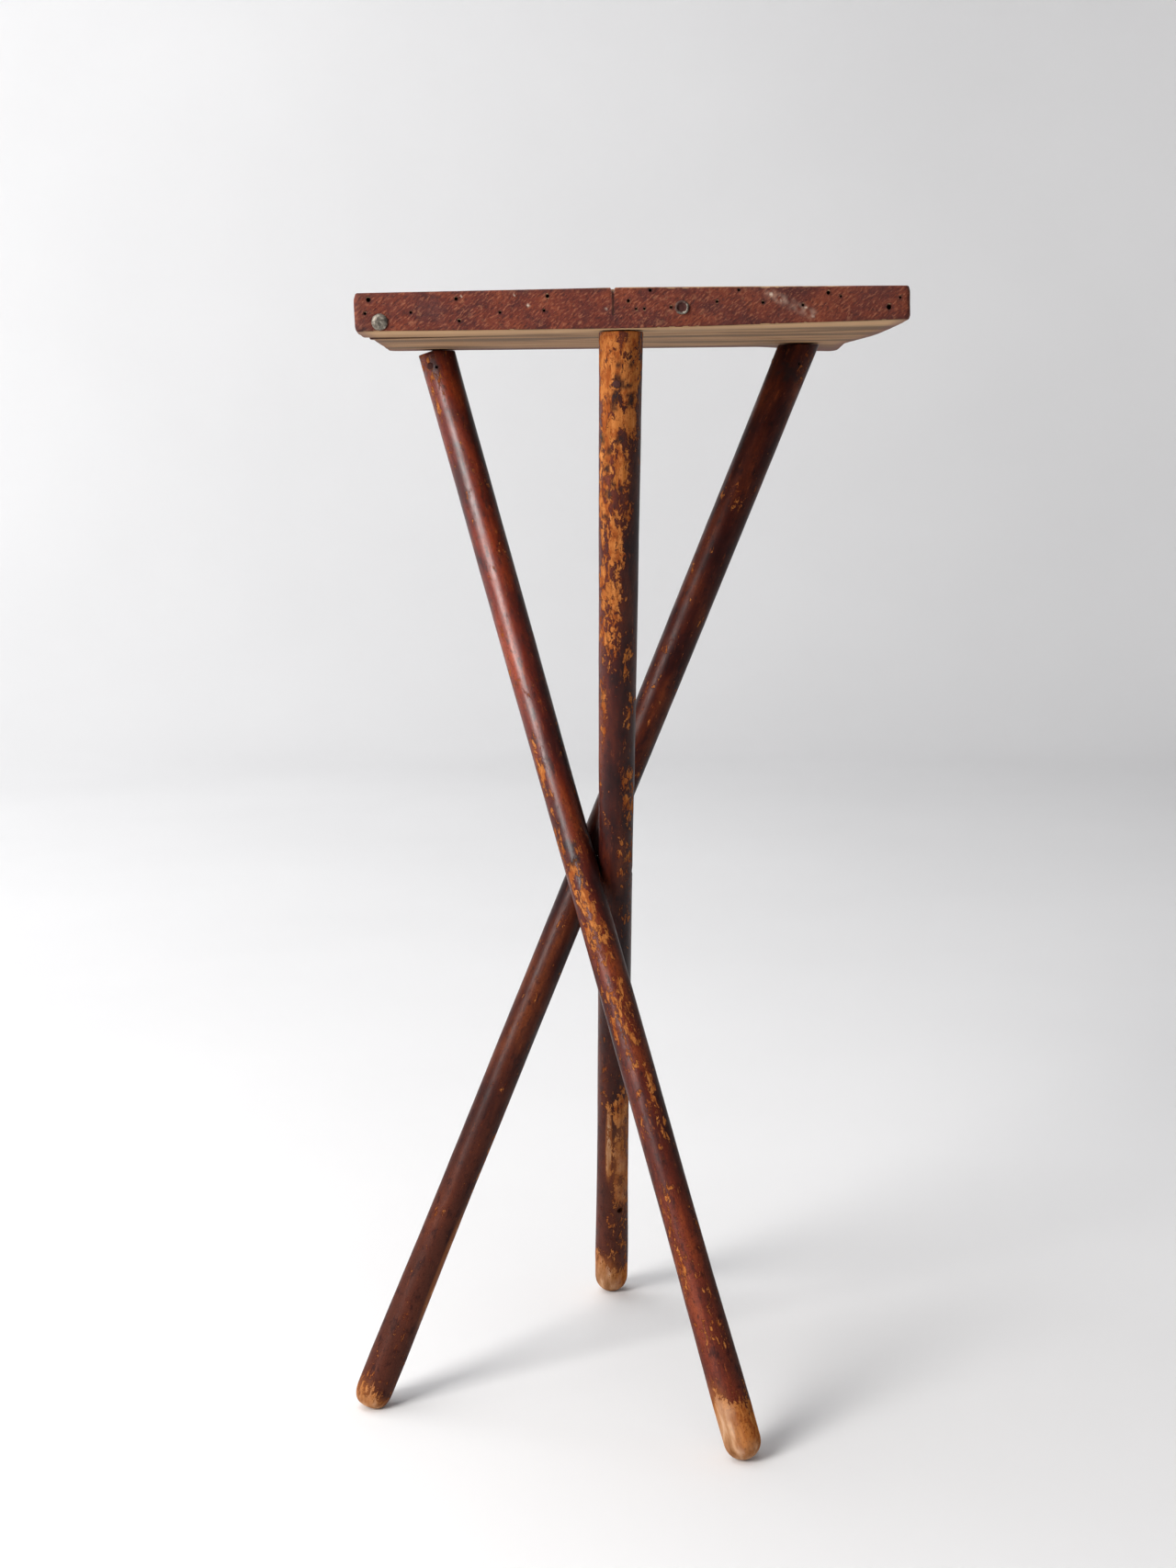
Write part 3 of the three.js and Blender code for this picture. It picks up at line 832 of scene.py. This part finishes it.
def board_chips(co, normal):
    """Pale chips in the paint of the front edge, and the faint smear."""
    if normal.y > -0.5:
        return 0.0
    spot = Vector((co.x - board_low.x, co.z - board_low.z)) / MM
    start, end = Vector(SMEAR_FROM), Vector(SMEAR_TO)
    share = min(1.0, max(0.0, (spot - start).dot(end - start) / (end - start).length_squared))
    away = (spot - start.lerp(end, share)).length
    smear = 0.17 * bump_share(away, 5.0) * max(0.0, 0.6 + wobble(co, 0.003, 1.2))
    return max(0.9 * front_spots(co, PAINT_CHIPS, 0.3), smear)


def board_grime(co, normal):
    """Mauve grime that creeps over the underside from its ends and back edge."""
    to_back = board_high.y - co.y
    ragged = 70 * MM + wobble((co.x, co.y, 2.0), 0.05, 60 * MM)
    back = bump_share(to_back, max(5 * MM, ragged))
    to_end = min(co.x - board_low.x, board_high.x - co.x)
    return 0.75 * max(back, bump_share(to_end, 12 * MM))


def make_plank(name, low, high, corners, cutters):
    points, faces = block(low, high, (PLANK_STEP, PLANK_DEPTH_STEP, PLANK_STEP))
    shaped = []
    for point in points:
        soft = rounded(point, low, high, EDGE_RADIUS)
        for corner in corners:
            round_corner(soft, *corner)
        shaped.append(weathered(soft, low, high))
    piece = mesh_object(name, shaped, faces)
    cut(piece, cutters)
    float_attributes(piece, paint=board_paint, stain=board_stain, chip=board_chips)
    float_attributes(piece, grime=board_grime, top=lambda co, normal: float(normal.z > 0.5))
    smooth(piece)
    return piece


def make_planks():
    low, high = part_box("front_plank")
    high.y += SEAM_CLOSING
    corners = [(low.x, low.y, -1, -1, FRONT_CORNER_RADIUS), (high.x, low.y, 1, -1, FRONT_CORNER_RADIUS)]
    holes = [tack_hole(*hole) for hole in TACK_HOLES]
    cutters = [socket_cutter("center"), notch_cutter(), *holes, scribe_cutter()]
    front = make_plank("front_board", low, high, corners, cutters)
    place_piece(front, "board", "painted_board", "front_plank")

    low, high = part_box("rear_plank")
    low.y -= SEAM_CLOSING
    corners = [(low.x, high.y, -1, 1, REAR_CORNER_RADIUS), (high.x, high.y, 1, 1, WORN_CORNER_RADIUS)]
    rear = make_plank("rear_board", low, high, corners, [socket_cutter("left"), socket_cutter("right")])
    place_piece(rear, "board", "painted_board", "rear_plank")


# --- legs ---


def leg_radius(share, girth):
    for (share_a, radius_a), (share_b, radius_b) in zip(LEG_RADII, LEG_RADII[1:]):
        if share <= share_b:
            t = max(0.0, (share - share_a) / (share_b - share_a))
            return (radius_a + (radius_b - radius_a) * t) * girth * MM
    return LEG_RADII[-1][1] * girth * MM


def degrees_apart(first, second):
    return abs((first - second + 180) % 360 - 180)


class Leg:
    """One turned leg: its own frame, with Z up along the leg and the pivot arm along X at height 0."""

    def __init__(self, side):
        self.side = side
        self.girth = LEG_GIRTH[side]
        self.place, self.x, self.y, self.z = leg_axes(side)
        turn = Matrix((self.x, self.y, self.z)).transposed().to_4x4()
        self.matrix = Matrix.Translation(self.place) @ turn
        self.foot = FOOT_RADIUS * self.girth
        self.upper = (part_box(side + "_leg")[1].z - self.place.z) / math.cos(LEG_TILT)
        self.lower = (self.place.z - self.foot) / math.cos(LEG_TILT)
        self.length = self.upper + self.lower
        self.bearing = math.degrees(math.atan2(self.x.y, self.x.x))
        self.inverse = self.matrix.inverted()

    def share(self, along):
        """Share of the leg's length, from the top, at a height in the leg's frame."""
        return (self.upper - along) / self.length

    def height(self, share):
        return self.upper - share * self.length

    def surface(self, share, bearing):
        """A point on the leg's surface and the outward direction there, both in the world."""
        angle = math.radians(bearing - self.bearing)
        out = self.x * math.cos(angle) + self.y * math.sin(angle)
        centre = self.place + self.z * self.height(share)
        return centre + out * leg_radius(share, self.girth), out

    def end_height(self, x, y):
        """Height of the leg's top in its own frame: level in the world, and worn on the left leg."""
        level = self.upper - y * math.tan(LEG_TILT)
        if self.side == "left":
            outer = (self.x * x + self.y * y).x
            level -= WORN_TOP_SLOPE * max(0.0, -outer - WORN_TOP_START)
        return level

    def ring(self, along, radius, cut_share=0.0):
        points = []
        for side in range(LEG_SIDES):
            angle = 2 * math.pi * side / LEG_SIDES
            direction = (math.cos(angle), math.sin(angle))
            seed = Vector((direction[0] * 0.02, direction[1] * 0.02, along * 0.5 + self.girth))
            uneven = wobble(seed, 0.03, 0.16 * MM) + wobble(seed, 0.008, 0.07 * MM)
            x = direction[0] * (radius + uneven)
            y = direction[1] * (radius + uneven)
            z = along + cut_share * (self.end_height(x, y) - self.upper)
            points.append(self.matrix @ Vector((x, y, z)))
        return points

    def mesh(self):
        rings = []
        dome_rings = 12
        for ring in range(1, dome_rings):
            angle = math.pi / 2 * ring / dome_rings
            radius = self.foot * math.sin(angle) ** FOOT_BLUNTNESS[self.side]
            rings.append(self.ring(-self.lower - self.foot * math.cos(angle), radius))
        count = round(self.length / LEG_RING_STEP)
        for ring in range(count + 1):
            share = 1 - ring / count
            along = self.height(share)
            cut_share = bump_share(self.upper - along, TOP_CUT_REACH)
            if ring == count:
                along -= TOP_ARRIS
            rings.append(self.ring(along, leg_radius(share, self.girth), cut_share))
        for share in (0.965, 0.8, 0.55, 0.25):
            rings.append(self.ring(self.upper, leg_radius(0, self.girth) * share, 1.0))

        points = [self.matrix @ Vector((0, 0, -self.lower - self.foot))]
        for ring in rings:
            points += ring
        points.append(self.matrix @ Vector((0, 0, self.upper)))
        for point in points:
            point.z = max(point.z, 0.0)
        faces = []
        for side in range(LEG_SIDES):
            after = (side + 1) % LEG_SIDES
            faces.append((0, 1 + after, 1 + side))
            for ring in range(len(rings) - 1):
                low = 1 + ring * LEG_SIDES
                high = low + LEG_SIDES
                faces.append((low + side, low + after, high + after, high + side))
            last = 1 + (len(rings) - 1) * LEG_SIDES
            faces.append((last + side, last + after, len(points) - 1))
        return mesh_object(self.side + "_turned_leg", points, faces)

    def cutters(self):
        """The counterbore over the rivet (plugged over on the left leg), nail holes and brad's recess."""
        surface = leg_radius(self.share(0), self.girth)
        mouth = surface - PLUG_SKIN if self.side == "left" else surface + CUTTER_PROUD
        floor = surface - COUNTERBORE_DEPTH
        made = [cylinder_cutter(self.place, self.x, COUNTERBORE_RADIUS, floor, mouth, 32)]
        for share, bearing, radius in LEG_NAIL_HOLES[self.side]:
            place, out = self.surface(share, bearing)
            made.append(cylinder_cutter(place, out, radius * MM, -NAIL_HOLE_DEPTH, CUTTER_PROUD, 14))
        return made + [self.brad_recess()]

    def brad_axis(self):
        """Where the brad crosses the leg's axis, and its outward direction."""
        low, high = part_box(self.side + "_pin_brad")
        middle = self.inverse @ ((low + high) / 2)
        out = (self.x * middle.x + self.y * middle.y).normalized()
        return self.matrix @ Vector((0, 0, middle.z)), out

    def brad_recess(self):
        place, out = self.brad_axis()
        surface = leg_radius(BRAD_SHARE, self.girth)
        floor = surface - BRAD_RECESS_DEPTH
        return cylinder_cutter(place, out, BRAD_RECESS_RADIUS, floor, surface + CUTTER_PROUD)

    def polar(self, co):
        """Share from the top and bearing of a point."""
        local = self.inverse @ co
        return self.share(local.z), self.bearing + math.degrees(math.atan2(local.y, local.x))

    def patches(self, share, bearing, table, reach):
        """How near a place is to each patch, along and around the leg, and the patch's strength."""
        for at_share, at_bearing, half_length, half_width, strength in table[self.side]:
            along = bump_share(share - at_share, reach * half_length)
            around = bump_share(degrees_apart(bearing, at_bearing), reach * half_width)
            yield along, around, strength

    def wear(self, co, normal):
        """How worn the varnish is, from the patches and the bare foot."""
        share, bearing = self.polar(co)
        worn = BASE_WEAR[self.side]
        for along, around, strength in self.patches(share, bearing, LEG_WEAR, 1.6):
            worn = max(worn, strength * min(1.0, 1.5 * along) * min(1.0, 1.5 * around))
        edge = BARE_FOOT[self.side] + wobble(co, 0.011, 0.006)
        edge += 0.007 * math.sin(math.radians(bearing + 90))
        below = (share - edge) / 0.018
        foot = 0.5 + (0.8 if below > 0 else 0.35) * below
        return max(worn, min(1.3, foot))

    def pale(self, co, normal):
        """How pale the bare wood is: most on the foot's side towards the key light, partly as painted light.
        """
        share, bearing = self.polar(co)
        fade = FOOT_FADE[self.side]
        pale = min(1.0, max(0.0, (share - BARE_FOOT[self.side] + fade) / (fade + 0.02)))
        # Painted light: the bare foot is paler on its side towards the key light.
        to_palest = math.cos(math.radians(bearing - PALE_LIT_SIDE[self.side]))
        pale *= min(0.95, max(0.0, 0.5 + 1.1 * to_palest))
        pale = max(pale, 0.7 * min(1.0, max(0.0, (share - 0.998) / 0.014)))
        for along, around, strength in self.patches(share, bearing, PALE_WOOD, 1.0):
            pale = max(pale, strength * min(1.0, 2 * along * around))
        return pale

    def redness(self, co, normal):
        """How red the varnish is: most on the side that faces the key light, as a painted lit glow, and on
        its back, above the crossing.
        """
        share, bearing = self.polar(co)
        lit_glow_bearing = LIT_GLOW_BEARING[self.side]
        # A painted lit glow: the varnish is reddest on the side that faces the key light.
        around = 0.06 + 0.94 * bump_share(degrees_apart(bearing, lit_glow_bearing), 100)
        around = max(around, 0.5 * bump_share(degrees_apart(bearing, lit_glow_bearing + 180), 80))
        below = 1 - bump_share(max(0.0, share - 0.28), 0.2)
        return LEG_REDNESS_AND_SHADE[self.side] * around * (1 - (1 - REDNESS_BELOW) * below)

    def stain(self, co, normal):
        """Dark rings round the nail holes and the rivet, and marks of crackled varnish."""
        spot = 0.0
        for share, bearing, radius in LEG_NAIL_HOLES[self.side]:
            place, _ = self.surface(share, bearing)
            spot = max(spot, bump_share((co - place).length, (radius + 2) * MM))
        for share, bearing, radius in DARK_MARKS[self.side]:
            place, _ = self.surface(share, bearing)
            ragged = radius * MM * (1 + wobble(co, 0.003, 0.8))
            spot = max(spot, min(0.9, 2.2 * bump_share((co - place).length, ragged)))
        if self.side != "left":
            rivet, _ = self.surface(self.share(0), self.bearing)
            spot = max(spot, bump_share((co - rivet).length, 8 * MM))
        return 0.9 * spot

    def make(self):
        piece = self.mesh()
        cut(piece, self.cutters())
        local = piece.data.attributes.new("leg_place", "FLOAT_VECTOR", "POINT")
        local.data.foreach_set("vector", [c for v in piece.data.vertices for c in self.inverse @ v.co])
        float_attributes(piece, wear=self.wear, pale=self.pale, stain=self.stain, redness=self.redness)
        smooth(piece)
        place_piece(piece, self.side + "_leg", "varnished_leg", self.side + "_leg")


# --- hardware ---


def hammered(piece, centre, amount):
    """Dents a nail's head a little, so that it isn't a perfect turning."""
    for vertex in piece.data.vertices:
        seed = (vertex.co - centre) / (2.2 * MM)
        vertex.co += vertex.normal * amount * noise.noise(seed + Vector((3.1, 0.7, 5.3)))


def make_edge_nail(side, profile, painted):
    """A nail in the front edge; profile is (share of the head's radius, height in mm), from its rim in."""
    low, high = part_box(side + "_edge_nail")
    radius = (high.x - low.x) / 2
    centre = Vector(((low.x + high.x) / 2, board_low.y, (low.z + high.z) / 2))
    points = [(share * radius, proud * MM) for share, proud in profile]
    shank = [(0, -NAIL_LENGTH), (NAIL_SHANK_RADIUS, NAIL_POINT - NAIL_LENGTH)]
    shank.append((NAIL_SHANK_RADIUS, -0.3 * MM))
    nail = lathe(side + "_nail", shank + points, 40, frame_at(centre, (0, -1, 0)))
    hammered(nail, centre, 0.22 * MM)
    float_attributes(nail, stain=lambda co, normal: painted(co, centre, radius))
    smooth(nail, 60)
    place_piece(nail, "board", "zinc_nail", side + "_edge_nail")


def make_edge_nails():
    domed = (
        (1.0, -0.3), (1.03, 0.2), (1.0, 0.7), (0.93, 1.05), (0.8, 1.4), (0.62, 1.7), (0.4, 1.92), (0, 2.0),
    )
    dished = (
        (1.0, -0.3), (1.03, 0.3), (1.02, 0.9), (0.97, 1.45), (0.88, 1.75), (0.78, 1.7),
        (0.68, 1.3), (0.6, 0.85), (0.45, 0.6), (0.22, 0.65), (0, 0.7),
    )
    make_edge_nail("left", domed, lambda co, centre, radius: 0.0)
    make_edge_nail("center", dished, painted_centre)


def painted_centre(co, centre, radius):
    """Paint left in the dish of the nail's head; the rim is darkened over its upper left."""
    across, up = co.x - centre.x, co.z - centre.z
    # The rim's upper left is darkened.
    rim = 0.0 if across - up > 0.0 else 0.85
    return 1.0 if math.hypot(across, up) < 0.68 * radius else rim


def make_pin(leg):
    """A locating pin with softened ends, standing in the leg's top."""
    rise = leg.upper + (0.8 * MM + PIN_RISE) / math.cos(LEG_TILT)
    low = leg.upper - PIN_LENGTH
    r = PIN_RADIUS
    profile = [
        (0, low), (r, low), (r, rise - 1.2 * MM), (0.9 * r, rise - 0.5 * MM), (0.66 * r, rise - 0.1 * MM),
        (0, rise),
    ]
    pin = lathe(leg.side + "_pin", profile, 32, leg.matrix)
    smooth(pin)
    place_piece(pin, leg.side + "_leg", "black_iron", leg.side + "_locating_pin")


def make_brad(leg):
    """A brad with a low domed head, flush in the leg's surface."""
    place, out = leg.brad_axis()
    surface = leg_radius(BRAD_SHARE, leg.girth)
    shank = BRAD_SHANK_RADIUS
    head = BRAD_HEAD_RADIUS
    neck = surface - BRAD_HEAD_THICKNESS
    profile = [(0, BRAD_TIP), (shank, BRAD_TIP + 0.5 * MM), (shank, neck), (head, neck)]
    profile += [(head, surface - 0.25 * MM), (0.85 * head, surface + 0.1 * MM)]
    profile += [(0.5 * head, surface + 0.3 * MM), (0, surface + 0.35 * MM)]
    brad = lathe(leg.side + "_brad", profile, 28, frame_at(place, out))
    hammered(brad, place + out * surface, 0.08 * MM)
    float_attributes(brad, stain=lambda co, normal: 1.0)
    smooth(brad, 50)
    place_piece(brad, leg.side + "_leg", "zinc_nail", leg.side + "_pin_brad")


def finish_cad_nodes(names, slot):
    """Carried-over CAD nodes keep their shape and get a finish."""
    for name in names:
        mesh = frame["nodes"][name].data
        mesh.materials.clear()
        mesh.materials.append(FINISHES[slot])


# --- stage ---


def make_sweep():
    """A pale round floor that curves up into a pale wall all round, with painted shade towards the right and
    on the side behind the camera.
    """
    floor_radius, bend, tall, sides, steps = 3.2, 1.0, 3.8, 96, 20
    profile = [(0, 0), (floor_radius, 0)]
    for step in range(1, steps + 1):
        angle = math.pi / 2 * step / steps
        profile.append((floor_radius + bend * math.sin(angle), bend * (1 - math.cos(angle))))
    profile.append((floor_radius + bend, tall))
    sweep = lathe("sweep", profile, sides, Matrix.Identity(4))
    smooth(sweep)
    g = Graph("sweep")
    place = g.place()
    cloud = g.noise(place, 1.4, 3, 0.5)
    color = g.ramp(cloud, (0.3, (0.86, 0.86, 0.865)), (0.7, (0.9, 0.9, 0.905)))
    # Painted shade: the sweep darkens towards the right, away from the lights.
    color = g.tint(color, (0.42, 0.415, 0.42), g.part(place, "X"), -1.5, 1.8, 0.35)
    # Painted shade: the sweep is dark behind the camera, standing in for a dark room there that gives little
    # fill.
    color = g.tint(color, (0.2, 0.2, 0.205), g.part(place, "Y"), -0.8, -3.0, 0.8)
    sweep.data.materials.append(g.finish(color, 0.75))


def make_light(name, place, target, size, power, color):
    data = bpy.data.lights.new(name, "AREA")
    data.shape = "RECTANGLE"
    data.size, data.size_y = size
    data.energy = power
    data.color = color
    light = new_object(name, data)
    light.location = place
    light.rotation_euler = (Vector(target) - Vector(place)).to_track_quat("-Z", "Y").to_euler()


def make_lights():
    for light in LIGHTS:
        make_light(*light)
    world = bpy.data.worlds.new("studio")
    world.use_nodes = True
    background = world.node_tree.nodes["Background"]
    background.inputs["Color"].default_value = (0.9, 0.93, 1.0, 1)
    background.inputs["Strength"].default_value = 0.16
    bpy.context.scene.world = world
    bpy.context.scene.view_settings.view_transform = "Standard"


def make_camera():
    data = bpy.data.cameras.new("camera")
    data.sensor_fit = "VERTICAL"
    data.sensor_height = SENSOR_HEIGHT
    data.lens = CAMERA_LENS
    camera = new_object("camera", data)
    turn = Matrix.Rotation(CAMERA_HEADING, 4, "Z") @ Matrix.Rotation(math.pi / 2 - CAMERA_PITCH, 4, "X")
    camera.matrix_world = Matrix.Translation(CAMERA_PLACE) @ turn @ Matrix.Rotation(CAMERA_ROLL, 4, "Z")
    bpy.context.scene.camera = camera


# --- assembly ---

make_camera()
make_lights()
make_sweep()

make_planks()
make_edge_nails()
for side in LEG_GIRTH:
    leg = Leg(side)
    leg.make()
    make_pin(leg)
    make_brad(leg)
finish_cad_nodes(["left_dowel", "middle_dowel", "right_dowel"], "dowel_wood")
finish_cad_nodes(["three_way_pivot", "left_burr", "center_burr", "right_burr"], "black_iron")
